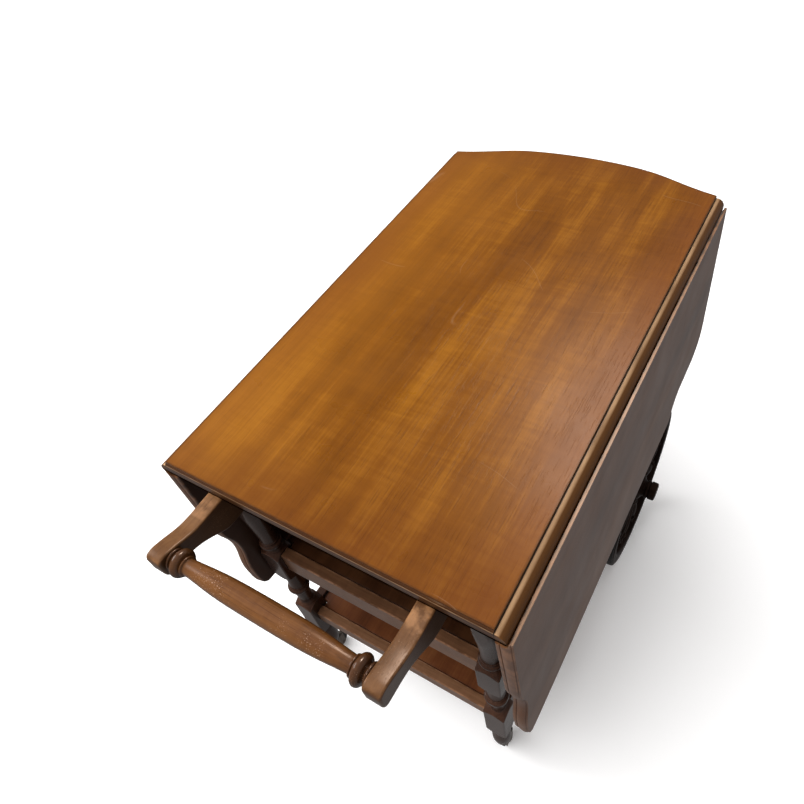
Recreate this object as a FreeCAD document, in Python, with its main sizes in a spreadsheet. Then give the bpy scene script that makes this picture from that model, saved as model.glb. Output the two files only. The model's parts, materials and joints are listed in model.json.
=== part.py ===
import FreeCAD, Part

import math
import os

# Drop-leaf tea cart on two spoked wheels and two casters.
# Frame: +Z up, floor at Z = 0, the handle end towards -Y, the leaves towards +X and -X.
# Millimetres throughout.  The origin is the middle of the whole object's footprint.

V = FreeCAD.Vector
doc = FreeCAD.newDocument("TeaCart")

# ---------------------------------------------------------------- driving dimensions
DIMENSIONS = {
    "table_height": 736.0,        # floor to top surface
    "top_length": 797.0,          # near end to the far corners
    "bow_depth": 50.5,            # how far the far end bows out past its corners
    "face_width": 473.0,          # top surface between the two rule joints
    "top_thick": 22.0,
    "quirk_depth": 5.5,           # step down from the top surface to the rule-joint roll
    "roll_radius": 14.0,
    "cove_gap": 1.6,              # leaf cove stands this far off the roll
    "leaf_drop": 350.0,           # hinge axis to the leaf's free edge
    "leaf_lean": 2.6,             # degrees that both leaves hang away from plumb, towards +X
    "leg_half": 19.0,             # half the width of the square leg blocks
    "leg_offset": 197.0,          # leg centre from the centre line
    "near_leg_inset": 47.0,       # near leg centre from the near end of the top
    "wheel_inset": 595.0,         # far leg and axle centre from the near end of the top
    "apron_height": 54.0,
    "rail_thick": 18.0,
    "mid_top": 459.0,             # top of the middle tier rails above the floor
    "mid_depth": 50.0,
    "low_top": 226.0,             # top of the lower tier rails above the floor
    "low_depth": 32.0,
    "shelf_thick": 12.0,
    "shelf_step": 6.0,            # shelf board lies this far below the rail tops
    "arm_offset": 156.0,
    "arm_thick": 24.0,
    "handle_reach": 110.0,        # front of the handle arms from the near end of the top
    "wheel_radius": 176.0,
    "wheel_plane": 249.0,         # middle of the wheel rim from the centre line
    "rim_width": 22.0,
    "hub_half": 24.0,
    "axle_radius": 8.0,
    "running_fit": 0.05,
    "spoke_count": 12.0,
    "caster_radius": 19.0,
    "caster_trail": 12.0,
    "stay_length": 150.0,
    "hinge_length": 70.0,
}
sheet = doc.addObject("Spreadsheet::Sheet", "Sheet")
for row, (alias, number) in enumerate(DIMENSIONS.items(), start=1):
    sheet.set(f"A{row}", alias)
    sheet.set(f"B{row}", str(number))
    sheet.setAlias(f"B{row}", alias)
doc.recompute()


def dim(alias):
    """A driving dimension, read back from the sheet."""
    return float(sheet.get(alias))


# ---------------------------------------------------------------- places worked out from them
HEIGHT = dim("table_height")
NEAR_Y = -(dim("top_length") + dim("bow_depth") - dim("handle_reach")) / 2
CORNER_Y = NEAR_Y + dim("top_length")
UNDER_Z = HEIGHT - dim("top_thick")
HINGE_X = dim("face_width") / 2
HINGE_Z = HEIGHT - dim("quirk_depth") - dim("roll_radius")
LEAF_OUT = HINGE_X + HEIGHT - HINGE_Z
LEAF_IN = LEAF_OUT - dim("top_thick")
NEAR_LEG_Y = NEAR_Y + dim("near_leg_inset")
FAR_LEG_Y = NEAR_Y + dim("wheel_inset")
LEG_X = dim("leg_offset")
LEG = dim("leg_half")
LEG_IN = LEG_X - LEG
AXLE_Z = dim("wheel_radius")
THICK = dim("rail_thick")
RUN = dim("running_fit")
nodes = []


# ---------------------------------------------------------------- helpers
def plane(body, role):
    """One of a body's own origin planes."""
    return next(f for f in body.Origin.OriginFeatures if f.Role == role)


def new_body(label):
    body = doc.addObject("PartDesign::Body", label)
    body.Label = label
    nodes.append(body)
    return body


def sketch_on(body, role, name, offset=0.0):
    """A sketch on an origin plane, moved along that plane's normal."""
    sketch = body.newObject("Sketcher::SketchObject", name)
    sketch.AttachmentSupport = [(plane(body, role), "")]
    sketch.MapMode = "FlatFace"
    sketch.AttachmentOffset = FreeCAD.Placement(V(0, 0, offset), FreeCAD.Rotation())
    return sketch


def loop(sketch, points):
    """A closed loop; a point given as (x, y, mid_x, mid_y) is reached by an arc through mid."""
    geometry = []
    start = points[-1]
    for point in points:
        a = V(start[0], start[1], 0)
        b = V(point[0], point[1], 0)
        if len(point) == 4:
            geometry.append(Part.Arc(a, V(point[2], point[3], 0), b))
        else:
            geometry.append(Part.LineSegment(a, b))
        start = point
    sketch.addGeometry(geometry, False)


def both_halves(points):
    """A path given up to the plane x = 0, followed by its own mirror image."""
    path = list(points)
    for here, after in zip(reversed(points[:-1]), reversed(points[1:])):
        middle = (-after[2], after[3]) if len(after) == 4 else ()
        path.append((-here[0], here[1]) + middle)
    return path


def circle(sketch, x, y, radius):
    sketch.addGeometry(Part.Circle(V(x, y, 0), V(0, 0, 1), radius), False)


def rectangle(sketch, x0, y0, x1, y1):
    loop(sketch, [(x1, y0), (x1, y1), (x0, y1), (x0, y0)])


def pad(body, sketch, name, length, reverse=False, both=False):
    """A pad; length is a number or an expression on the sheet."""
    feature = body.newObject("PartDesign::Pad", name)
    feature.Profile = sketch
    feature.Reversed = reverse
    feature.Midplane = both
    if isinstance(length, str):
        feature.setExpression("Length", length)
    else:
        feature.Length = length
    return feature


def pocket(body, sketch, name, length=None):
    """A pocket both ways from its sketch, through everything if no length is given."""
    doc.recompute()
    before = body.Shape.Volume
    feature = body.newObject("PartDesign::Pocket", name)
    feature.Profile = sketch
    feature.Midplane = True
    if length is None:
        feature.Type = "ThroughAll"
    else:
        feature.Length = length
    doc.recompute()
    if not body.Shape.Volume < before - 1.0:
        raise RuntimeError(name + " removed nothing")


def turn(body, sketch, name, axis="V_Axis"):
    feature = body.newObject("PartDesign::Revolution", name)
    feature.Profile = sketch
    feature.ReferenceAxis = (sketch, [axis])
    feature.Angle = 360.0
    return feature


def primitive(kind, name, base=(0, 0, 0), axis=(0, 0, 1), angle=0.0, **sizes):
    """A Part primitive; sizes are numbers or expressions on the sheet."""
    thing = doc.addObject("Part::" + kind, name)
    for size, amount in sizes.items():
        if isinstance(amount, str):
            thing.setExpression(size, amount)
        else:
            setattr(thing, size, amount)
    thing.Placement = FreeCAD.Placement(V(*base), FreeCAD.Rotation(V(*axis), angle))
    return thing


def block(name, low, high):
    """A box between two corners."""
    size = [b - a for a, b in zip(low, high)]
    return primitive("Box", name, base=low, Length=size[0], Width=size[1], Height=size[2])


def rod_x(name, radius, x0, x1, y, z):
    return primitive("Cylinder", name, base=(x0, y, z), axis=(0, 1, 0), angle=90,
                     Radius=radius, Height=x1 - x0)


def rod_y(name, radius, y0, y1, x, z):
    return primitive("Cylinder", name, base=(x, y0, z), axis=(-1, 0, 0), angle=90,
                     Radius=radius, Height=y1 - y0)


def rod_z(name, radius, z0, z1, x, y):
    return primitive("Cylinder", name, base=(x, y, z0), Radius=radius, Height=z1 - z0)


def fuse(name, *things):
    joined = doc.addObject("Part::MultiFuse", name)
    joined.Shapes = list(things)
    joined.Refine = True
    return joined


def cut(name, base, *tools):
    """Base less every tool."""
    result = base
    for number, tool in enumerate(tools, start=1):
        step = doc.addObject("Part::Cut", name if number == len(tools) else f"{name}_step{number}")
        step.Base = result
        step.Tool = tool
        result = step
    return result


def group(name, *things):
    """Separate solids that share one node."""
    together = doc.addObject("Part::Compound", name)
    together.Links = list(things)
    return together


def keep(thing):
    """Marks an object as a sub-part of the finished cart."""
    thing.Label = thing.Name
    nodes.append(thing)


def hang(thing, sign):
    """Turns a piece of a leaf about its hinge, so that the leaf hangs with its lean."""
    turned = FreeCAD.Rotation(V(0, 1, 0), -dim("leaf_lean"))
    thing.Placement = FreeCAD.Placement(V(0, 0, 0), turned, V(sign * HINGE_X, 0, HINGE_Z))
    return thing


def sides():
    """The two sides of the cart, with the sign of X on each."""
    return (("right", 1), ("left", -1))


# ---------------------------------------------------------------- table top
HINGE_YS = (NEAR_Y + 150, CORNER_Y - 130)
KNUCKLE = 4.0


def bow_points():
    """The serpentine far end: a bow with tighter shoulders, easing into the corners."""
    peak = CORNER_Y + dim("bow_depth")
    shoulder = (HINGE_X * 0.38, peak - 6.2)
    waist = (HINGE_X * 0.635, peak - 21.6)
    return both_halves([
        (HINGE_X, CORNER_Y),
        (waist[0], waist[1], (waist[0] + HINGE_X) / 2, (waist[1] + CORNER_Y) / 2 - 1.8),
        (shoulder[0], shoulder[1], (shoulder[0] + waist[0]) / 2, (shoulder[1] + waist[1]) / 2 + 1.5),
        (0, peak, shoulder[0] * 0.5, peak - 1.6),
    ])


def make_top():
    """Top board: rule-joint section run the whole length, then the far end sawn to shape."""
    body = new_body("top_board")
    roll = dim("roll_radius")
    low_reach = math.sqrt(roll ** 2 - (HINGE_Z - UNDER_Z) ** 2)
    edge = HINGE_X + low_reach
    arc = math.sqrt(0.5) * roll
    section = sketch_on(body, "XZ_Plane", "rule_section", -NEAR_Y)
    loop(section, [
        (HINGE_X, HEIGHT),
        (HINGE_X, HINGE_Z + roll),
        (edge, UNDER_Z, HINGE_X + arc, HINGE_Z + arc),
        (-edge, UNDER_Z),
        (-HINGE_X, HINGE_Z + roll, -HINGE_X - arc, HINGE_Z + arc),
        (-HINGE_X, HEIGHT),
    ])
    pad(body, section, "blank", "Sheet.top_length + Sheet.bow_depth", reverse=True)
    waste = sketch_on(body, "XY_Plane", "far_end_waste", HEIGHT)
    far = CORNER_Y + dim("bow_depth") + 20
    outside = edge + 10
    loop(waste, [(outside, far), (outside, CORNER_Y)] + bow_points()
         + [(-outside, CORNER_Y), (-outside, far)])
    pocket(body, waste, "far_end_cut")
    wide = KNUCKLE + 1.2
    outer = HINGE_X + roll + 2
    for side, sign in sides():
        for number, y in enumerate(HINGE_YS, start=1):
            gain = sketch_on(body, "XZ_Plane", f"hinge_gain_{side}_{number}", -y)
            loop(gain, [
                (sign * (HINGE_X - wide), UNDER_Z - 1),
                (sign * outer, UNDER_Z - 1),
                (sign * outer, UNDER_Z + 0.4),
                (sign * (HINGE_X + wide), UNDER_Z + 0.4),
                (sign * (HINGE_X + wide), HINGE_Z),
                (sign * (HINGE_X - wide), HINGE_Z, sign * HINGE_X, HINGE_Z + wide),
            ])
            pocket(body, gain, f"hinge_gain_cut_{side}_{number}", dim("hinge_length") + 2)


make_top()


# ---------------------------------------------------------------- leaves
def make_leaf(side, sign):
    """A leaf hanging beside the frame; its ends are shaped and its top edge is coved."""
    body = new_body("leaf_" + side)
    top = HINGE_Z - dim("cove_gap")
    foot = HINGE_Z - dim("leaf_drop")
    near = NEAR_Y
    far = CORNER_Y + 2.0
    outline = sketch_on(body, "YZ_Plane", f"leaf_outline_{side}", sign * LEAF_IN)
    loop(outline, [
        (near, top),
        (near, top - 150),
        (near + 6, top - 186, near + 1.2, top - 169),
        (near + 12, top - 222, near + 11.4, top - 204),
        (near + 5, top - 262, near + 10.6, top - 243),
        (near + 4, top - 300, near + 3.0, top - 281),
        (near + 5, foot + 24),
        (near + 20, foot + 4, near + 9.5, foot + 10.5),
        (near + 90, foot),
        (far - 172, foot),
        (far - 158, foot + 24, far - 168.5, foot + 12),
        (far - 120, foot + 44, far - 143, foot + 39),
        (far - 48, foot + 46),
        (far, foot + 92, far - 13, foot + 58),
        (far, top),
    ])
    pad(body, outline, f"leaf_board_{side}", "Sheet.top_thick", reverse=sign < 0)
    cove = sketch_on(body, "XZ_Plane", f"cove_section_{side}")
    circle(cove, sign * HINGE_X, HINGE_Z, dim("roll_radius") + dim("cove_gap"))
    pocket(body, cove, f"cove_cut_{side}")
    hang(body, sign)


for side, sign in sides():
    make_leaf(side, sign)


# ---------------------------------------------------------------- legs
def leg_profile(foot_z):
    """Half-profile of a turned leg from the foot up: (radius, height), arcs as for loop()."""
    low_block = (144.0, 256.0)
    mid_block = (HEIGHT - 357.0, HEIGHT - 276.0)
    top_block = (UNDER_Z - dim("apron_height"), UNDER_Z)
    points = [(0, foot_z), (13, foot_z)]
    if foot_z < low_block[0] - 40:
        points += [
            (17.5, foot_z + 30, 16.4, foot_z + 14),
            (13.5, low_block[0] - 22, 17.0, low_block[0] - 38),
            (13.5, low_block[0] - 16),
            (17.5, low_block[0] - 6, 17.8, low_block[0] - 13),
            (17.5, low_block[0]),
        ]
    else:
        points += [(17.5, foot_z + 8, 16.8, foot_z + 3), (17.5, low_block[0])]
    middle = (low_block[1] + mid_block[0]) / 2
    points += [
        (17.5, low_block[1] + 4),
        (12.5, low_block[1] + 14, 13.6, low_block[1] + 8),
        (14.5, middle - 12, 12.6, middle - 24),
        (14.5, middle - 7),
        (14.5, middle + 7, 19.5, middle),
        (14.5, middle + 12),
        (12.5, mid_block[0] - 14, 12.6, middle + 24),
        (17.5, mid_block[0] - 4, 13.6, mid_block[0] - 8),
        (17.5, mid_block[1] + 4),
        (13.0, mid_block[1] + 14, 14.0, mid_block[1] + 8),
        (13.0, mid_block[1] + 17),
        (13.0, mid_block[1] + 29, 18.5, mid_block[1] + 23),
        (14.2, mid_block[1] + 33),
        (21.5, top_block[0] - 62, 16.2, mid_block[1] + 95),
        (15.0, top_block[0] - 24, 21.6, top_block[0] - 38),
        (15.0, top_block[0] - 20),
        (15.0, top_block[0] - 8, 20.0, top_block[0] - 14),
        (15.0, top_block[0] - 5),
        (17.5, top_block[0]),
        (17.5, top_block[1]),
        (0, top_block[1]),
    ]
    return points, (low_block, mid_block, top_block)


def make_leg(name, x, y, foot_z, bore=False):
    """A square blank turned between its three blocks."""
    body = new_body(name)
    points, blocks = leg_profile(foot_z)
    profile = sketch_on(body, "XZ_Plane", name + "_profile")
    loop(profile, points)
    turn(body, profile, name + "_turning")
    for number, (low, high) in enumerate(blocks, start=1):
        square = sketch_on(body, "XY_Plane", f"{name}_square_{number}", low)
        soft = 3.0
        loop(square, [
            (LEG - soft, -LEG),
            (LEG, -LEG + soft),
            (LEG, LEG - soft),
            (LEG - soft, LEG),
            (-LEG + soft, LEG),
            (-LEG, LEG - soft),
            (-LEG, -LEG + soft),
            (-LEG + soft, -LEG),
        ])
        pad(body, square, f"{name}_block_{number}", high - low)
    if bore:
        hole = sketch_on(body, "YZ_Plane", name + "_axle_circle")
        circle(hole, 0, AXLE_Z, dim("axle_radius"))
        pocket(body, hole, name + "_axle_bore")
    body.Placement = FreeCAD.Placement(V(x, y, 0), FreeCAD.Rotation())
    return body


CASTER_TOP = 56.0
for side, sign in sides():
    make_leg("leg_near_" + side, sign * LEG_X, NEAR_LEG_Y, CASTER_TOP)
    make_leg("leg_far_" + side, sign * LEG_X, FAR_LEG_Y, 126.0, bore=True)


# ---------------------------------------------------------------- rails and shelves
def make_tier(prefix, top, depth, shelf):
    """Four rails between the legs, and a shelf board held inside them."""
    front = NEAR_LEG_Y - THICK / 2
    back = FAR_LEG_Y - THICK / 2
    side_x = LEG_X - THICK / 2
    for end, y in (("front", front), ("back", back)):
        rail = primitive("Box", f"{prefix}_{end}", base=(-LEG_IN, y, top - depth),
                         Length=2 * LEG_IN, Width="Sheet.rail_thick", Height=depth)
        keep(rail)
    for side, sign in sides():
        x = side_x if sign > 0 else -side_x - THICK
        rail = primitive("Box", f"{prefix}_{side}", base=(x, NEAR_LEG_Y + LEG, top - depth),
                         Length="Sheet.rail_thick", Height=depth,
                         Width=FAR_LEG_Y - NEAR_LEG_Y - 2 * LEG)
        keep(rail)
    if shelf:
        board = dim("shelf_thick")
        level = top - dim("shelf_step") - board
        inner = side_x
        centre = block(f"{shelf}_centre", (-LEG_IN, front + THICK, level), (LEG_IN, back, level + board))
        wide = block(f"{shelf}_wide", (-inner, NEAR_LEG_Y + LEG, level),
                     (inner, FAR_LEG_Y - LEG, level + board))
        keep(fuse(shelf, centre, wide))


make_tier("apron", UNDER_Z, dim("apron_height"), None)
make_tier("mid_rail", dim("mid_top"), dim("mid_depth"), "mid_shelf")
make_tier("low_rail", dim("low_top"), dim("low_depth"), "low_shelf")


# ---------------------------------------------------------------- handle
BAR_Y = NEAR_Y - 91.0
BAR_Z = HEIGHT - 27.0


def make_arm(side, sign):
    """A sawn ogee arm from the front apron out to the handle bar."""
    body = new_body("handle_arm_" + side)
    front = NEAR_Y - dim("handle_reach")
    root = NEAR_LEG_Y - THICK / 2
    outline = sketch_on(body, "YZ_Plane", f"arm_outline_{side}",
                        sign * dim("arm_offset") - dim("arm_thick") / 2)
    loop(outline, [
        (root, UNDER_Z),
        (NEAR_Y - 38, UNDER_Z),
        (NEAR_Y - 68, HEIGHT - 17.5, NEAR_Y - 54, HEIGHT - 20.6),
        (front + 8, HEIGHT - 9, NEAR_Y - 85, HEIGHT - 12),
        (front, HEIGHT - 15, front + 2.6, HEIGHT - 10.4),
        (front, HEIGHT - 38),
        (front + 8, HEIGHT - 45, front + 2.4, HEIGHT - 43),
        (NEAR_Y - 66, HEIGHT - 47.5, NEAR_Y - 84, HEIGHT - 45.6),
        (NEAR_Y - 14, HEIGHT - 76, NEAR_Y - 40, HEIGHT - 58),
        (root, HEIGHT - 76),
    ])
    pad(body, outline, f"arm_board_{side}", "Sheet.arm_thick")
    seat = sketch_on(body, "YZ_Plane", f"bar_seat_{side}")
    circle(seat, BAR_Y, BAR_Z, 9.0)
    pocket(body, seat, f"bar_seat_cut_{side}")
    return body


for side, sign in sides():
    make_arm(side, sign)


def make_bar():
    """Turned bar: a swelling middle, necks, and a ring and collar at each end."""
    body = new_body("handle_bar")
    inner = dim("arm_offset") - dim("arm_thick") / 2
    outer = dim("arm_offset") + dim("arm_thick") / 2
    profile = sketch_on(body, "XY_Plane", "bar_profile")
    loop(profile, [(outer, 0)] + both_halves([
        (outer, 9.0),
        (inner, 9.0),
        (inner, 13.0),
        (inner - 4, 13.0, inner - 2, 14.8),
        (inner - 6, 10.5),
        (inner - 7, 10.5),
        (inner - 20, 12.0, inner - 13.5, 18.6),
        (inner - 22, 10.5),
        (inner - 64, 14.5, inner - 42, 12.6),
        (0, 15.6, (inner - 64) / 2, 15.4),
    ]) + [(-outer, 0)])
    turn(body, profile, "bar_turning", axis="H_Axis")
    body.Placement = FreeCAD.Placement(V(0, BAR_Y, BAR_Z), FreeCAD.Rotation())


make_bar()


# ---------------------------------------------------------------- hinges
PLATE = 1.6
PIN = 1.6
TABLE_FLAP = 24.0
LEAF_FLAP = 58.0
LEAF_FLAP_DROP = 22.0
KNUCKLE_GAP = 0.3
HINGE_NECK = HINGE_X - KNUCKLE - 1.6


def side_block(name, sign, x0, x1, y0, y1, z0, z1):
    """A box given on the right-hand side, or its mirror image on the left."""
    low, high = sorted((sign * x0, sign * x1))
    return block(name, (low, y0, z0), (high, y1, z1))


def make_hinge(tag, sign, y):
    """A back-flap hinge: the flap on the top, the flap on the leaf, and the pin."""
    half = dim("hinge_length") / 2
    third = half * 2 / 3
    x = sign * HINGE_X
    outer_knuckles = ((y - half, y - third / 2), (y + third / 2, y + half))
    a = y - third / 2 + KNUCKLE_GAP
    b = y + third / 2 - KNUCKLE_GAP

    pieces = [side_block(f"top_flap_plate_{tag}", sign, HINGE_NECK - TABLE_FLAP, HINGE_NECK,
                         y - half, y + half, UNDER_Z - PLATE, UNDER_Z)]
    for number, (y0, y1) in enumerate(outer_knuckles, start=1):
        pieces.append(rod_y(f"top_knuckle_{tag}_{number}", KNUCKLE, y0, y1, x, HINGE_Z))
        pieces.append(side_block(f"top_neck_{tag}_{number}", sign, HINGE_NECK - 1, HINGE_X, y0, y1,
                                 UNDER_Z - PLATE, UNDER_Z))
    bore = rod_y(f"top_bore_{tag}", PIN, y - half - 1, y + half + 1, x, HINGE_Z)
    top_flap = cut(f"top_flap_{tag}", fuse(f"top_flap_solid_{tag}", *pieces), bore)

    top = HINGE_Z - LEAF_FLAP_DROP
    whole = fuse(
        f"leaf_flap_solid_{tag}",
        side_block(f"leaf_flap_plate_{tag}", sign, LEAF_IN - PLATE, LEAF_IN, y - half, y + half,
                   top - LEAF_FLAP, top),
        side_block(f"leaf_neck_{tag}", sign, LEAF_IN - PLATE, LEAF_IN, a, b, top - 1, HINGE_Z),
        rod_y(f"leaf_knuckle_{tag}", KNUCKLE, a, b, x, HINGE_Z))
    bore = rod_y(f"leaf_bore_{tag}", PIN + RUN, y - half - 1, y + half + 1, x, HINGE_Z)
    leaf_flap = cut(f"leaf_flap_{tag}", whole, bore)
    pin = rod_y(f"hinge_pin_{tag}", PIN, y - half, y + half, x, HINGE_Z)
    return top_flap, leaf_flap, pin


top_flaps, hinge_pins = [], []
for side, sign in sides():
    leaf_flaps = []
    for number, y in enumerate(HINGE_YS, start=1):
        top_flap, leaf_flap, pin = make_hinge(f"{side}_{number}", sign, y)
        top_flaps.append(top_flap)
        leaf_flaps.append(leaf_flap)
        hinge_pins.append(pin)
    keep(hang(group(f"hinge_leaf_flaps_{side}", *leaf_flaps), sign))
keep(group("hinge_top_flaps", *top_flaps))
keep(group("hinge_pins", *hinge_pins))


# ---------------------------------------------------------------- wheels
SPOKE_FOOT = 26.0
RIM_DEPTH = 27.0


def wheel_place(sign):
    """Stands a wheel that was drawn flat round its own axis on the axle, outer side out."""
    return FreeCAD.Placement(V(sign * dim("wheel_plane"), FAR_LEG_Y, AXLE_Z),
                             FreeCAD.Rotation(V(0, 1, 0), 90 * sign))


def turned_body(label, points, place):
    """A body turned about its own Z from a (radius, height) loop, then put in place."""
    body = new_body(label)
    section = sketch_on(body, "XZ_Plane", label + "_section")
    loop(section, points)
    turn(body, section, label + "_turning")
    body.Placement = place
    return body


def make_spokes(label, inner, place):
    """Turned spokes, as separate solids that share one node."""
    points = [
        (4.8, SPOKE_FOOT - 3),
        (4.8, 34),
        (4.8, 42, 8.2, 38),
        (4.2, 46),
        (7.0, 88, 6.4, 66),
        (4.6, 122, 6.8, 106),
        (4.6, 130, 7.6, 126),
        (4.6, inner + 3),
    ]
    edges = [Part.makeLine(V(0, 0, points[0][1]), V(points[0][0], 0, points[0][1]))]
    for a, b in zip(points, points[1:]):
        if len(b) == 4:
            edges.append(Part.Arc(V(a[0], 0, a[1]), V(b[2], 0, b[3]), V(b[0], 0, b[1])).toShape())
        else:
            edges.append(Part.makeLine(V(a[0], 0, a[1]), V(b[0], 0, b[1])))
    edges.append(Part.makeLine(V(points[-1][0], 0, points[-1][1]), V(0, 0, points[-1][1])))
    edges.append(Part.makeLine(V(0, 0, points[-1][1]), V(0, 0, points[0][1])))
    face = Part.Face(Part.Wire(edges))
    one = face.revolve(V(0, 0, 0), V(0, 0, 1), 360)
    one.rotate(V(0, 0, 0), V(0, 1, 0), 90)
    ring = Part.makeCylinder(inner, 40, V(0, 0, -20)).cut(Part.makeCylinder(SPOKE_FOOT, 40, V(0, 0, -20)))
    one = ring.common(one)
    count = int(dim("spoke_count"))
    copies = []
    for number in range(count):
        copy = one.copy()
        copy.rotate(V(0, 0, 0), V(0, 0, 1), 360 * number / count)
        copies.extend(copy.Solids)
    spokes = doc.addObject("Part::Feature", label)
    spokes.Shape = Part.makeCompound(copies)
    spokes.Placement = place
    keep(spokes)


def make_wheel(side, sign):
    radius = dim("wheel_radius")
    place = wheel_place(sign)
    half = dim("rim_width") / 2
    inner = radius - RIM_DEPTH
    turned_body("wheel_tyre_" + side, [
        (radius - 6, -half + 2),
        (radius - 1.6, -half + 2),
        (radius - 1.6, half - 2, radius, 0),
        (radius - 6, half - 2),
    ], place)
    turned_body("wheel_rim_" + side, [
        (inner + 5, -half, inner + 1.5, -half + 1.5),
        (radius - 8, -half),
        (radius - 6, -half + 2, radius - 6.6, -half + 0.6),
        (radius - 6, half - 2),
        (radius - 8, half, radius - 6.6, half - 0.6),
        (inner + 5, half),
        (inner, half - 5, inner + 1.5, half - 1.5),
        (inner, -half + 5),
    ], place)
    bore = dim("axle_radius") + 3.0
    end = dim("hub_half")
    turned_body("wheel_hub_" + side, [
        (17, -end),
        (20, -end + 4, 19.4, -end + 1),
        (17, -end + 8, 19.4, -end + 7),
        (22, -11, 17.8, -14),
        (SPOKE_FOOT, -9),
        (SPOKE_FOOT, 9),
        (22, 11),
        (17, end - 8, 17.8, 14),
        (20, end - 4, 19.4, end - 7),
        (17, end, 19.4, end - 1),
        (bore, end),
        (bore, -end),
    ], place)
    turned_body("hub_sleeve_" + side, [
        (bore, -end),
        (bore, end),
        (dim("axle_radius") + RUN, end),
        (dim("axle_radius") + RUN, -end),
    ], place)
    make_spokes("wheel_spokes_" + side, inner, place)
    turned_body("hub_cap_" + side, [
        (15.5, end + 14, 18.0, end + 13.0),
        (0, end + 14),
        (0, end + 10.5),
        (3, end + 10.5),
        (12.6, end + 8.5, 8.0, end + 9.9),
        (12.6, end),
        (17, end),
        (19, end + 3, 18.5, end + 1.0),
        (19, end + 10.5),
    ], place)


for side, sign in sides():
    make_wheel(side, sign)

AXLE_END = dim("wheel_plane") + dim("hub_half") + 5.0
keep(rod_x("axle", "Sheet.axle_radius", -AXLE_END, AXLE_END, FAR_LEG_Y, AXLE_Z))
spacers = []
collars = []
for side, sign in sides():
    hub_in = dim("wheel_plane") - dim("hub_half") - 0.4
    hub_out = dim("wheel_plane") + dim("hub_half") + 0.4
    for name, radius, a, b, bunch in (("spacer", 14.0, LEG_X + LEG, hub_in, spacers),
                                      ("collar", 11.5, hub_out, hub_out + 3.0, collars)):
        low, high = sorted((sign * a, sign * b))
        ring = rod_x(f"{name}_blank_{side}", radius, low, high, FAR_LEG_Y, AXLE_Z)
        hole = rod_x(f"{name}_hole_{side}", "Sheet.axle_radius", low - 1, high + 1, FAR_LEG_Y, AXLE_Z)
        bunch.append(cut(f"{name}_{side}", ring, hole))
keep(group("axle_spacers", *spacers))
keep(group("axle_collars", *collars))


# ---------------------------------------------------------------- casters
PLATE_THICK = 3.0
FORK_TOP = CASTER_TOP - PLATE_THICK - 0.3


def make_caster(side, sign):
    """Swivel caster: plate and rivet on the leg, fork and axle below, and a wheel."""
    x = sign * LEG_X
    wheel_y = NEAR_LEG_Y + dim("caster_trail")
    wheel_z = dim("caster_radius")
    plate = rod_z("caster_disc_" + side, 13.0, CASTER_TOP - PLATE_THICK, CASTER_TOP, x, NEAR_LEG_Y)
    rivet = rod_z("caster_rivet_" + side, 4.0, FORK_TOP - 7.0, CASTER_TOP - PLATE_THICK, x, NEAR_LEG_Y)
    head = primitive("Cone", "caster_head_" + side, base=(x, NEAR_LEG_Y, FORK_TOP - 8.6),
                     Radius1=5.0, Radius2=7.5, Height=2.2)
    caster_plate = fuse("caster_plate_" + side, plate, rivet, head)

    crown = rod_z("fork_crown_" + side, 13.0, FORK_TOP - 6.0, FORK_TOP, x, NEAR_LEG_Y)
    cheeks = []
    for number, offset in enumerate((-11.5, 9.5), start=1):
        cheeks.append(block(f"fork_cheek_{side}_{number}", (x + offset, NEAR_LEG_Y - 5, wheel_z + 6),
                            (x + offset + 2, wheel_y + 7, FORK_TOP - 0.5)))
        cheeks.append(rod_x(f"fork_eye_{side}_{number}", 7.0, x + offset, x + offset + 2,
                            wheel_y, wheel_z))
        cheeks.append(block(f"fork_web_{side}_{number}", (x + offset, wheel_y - 7, wheel_z),
                            (x + offset + 2, wheel_y + 7, wheel_z + 7)))
    deck = block("fork_deck_" + side, (x - 11.5, NEAR_LEG_Y - 5, FORK_TOP - 2.5),
                 (x + 11.5, wheel_y + 7, FORK_TOP - 0.5))
    fork = fuse("fork_solid_" + side, crown, deck, *cheeks)
    swivel_hole = rod_z("fork_swivel_hole_" + side, 4.0 + RUN, FORK_TOP - 7, FORK_TOP + 1, x, NEAR_LEG_Y)
    axle_hole = rod_x("fork_axle_hole_" + side, 3.0, x - 13, x + 13, wheel_y, wheel_z)
    keep(cut("caster_fork_" + side, fork, swivel_hole, axle_hole))
    keep(rod_x("caster_axle_" + side, 3.0, x - 12.5, x + 12.5, wheel_y, wheel_z))

    place = FreeCAD.Placement(V(x, wheel_y, wheel_z), FreeCAD.Rotation(V(0, 1, 0), 90))
    radius = dim("caster_radius")
    turned_body("caster_wheel_" + side, [
        (3.0 + RUN, -8.8),
        (8, -8.8),
        (8.6, -6.6),
        (radius - 3, -6.6),
        (radius, -3.4, radius - 0.8, -5.8),
        (radius, 3.4),
        (radius - 3, 6.6, radius - 0.8, 5.8),
        (8.6, 6.6),
        (8, 8.8),
        (3.0 + RUN, 8.8),
    ], place)
    return caster_plate


keep(group("caster_plates", *[make_caster(side, sign) for side, sign in sides()]))


# ---------------------------------------------------------------- leaf stays
STAY_X = LEG_X + THICK / 2 + 11.0
STAY_Z = HEIGHT - 64.0
STAY_Y = NEAR_Y + dim("top_length") / 2
STAY_HALF_WIDTH = 6.0
STAY_HALF_THICK = 2.5
STAY_PIN = 3.0


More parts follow.
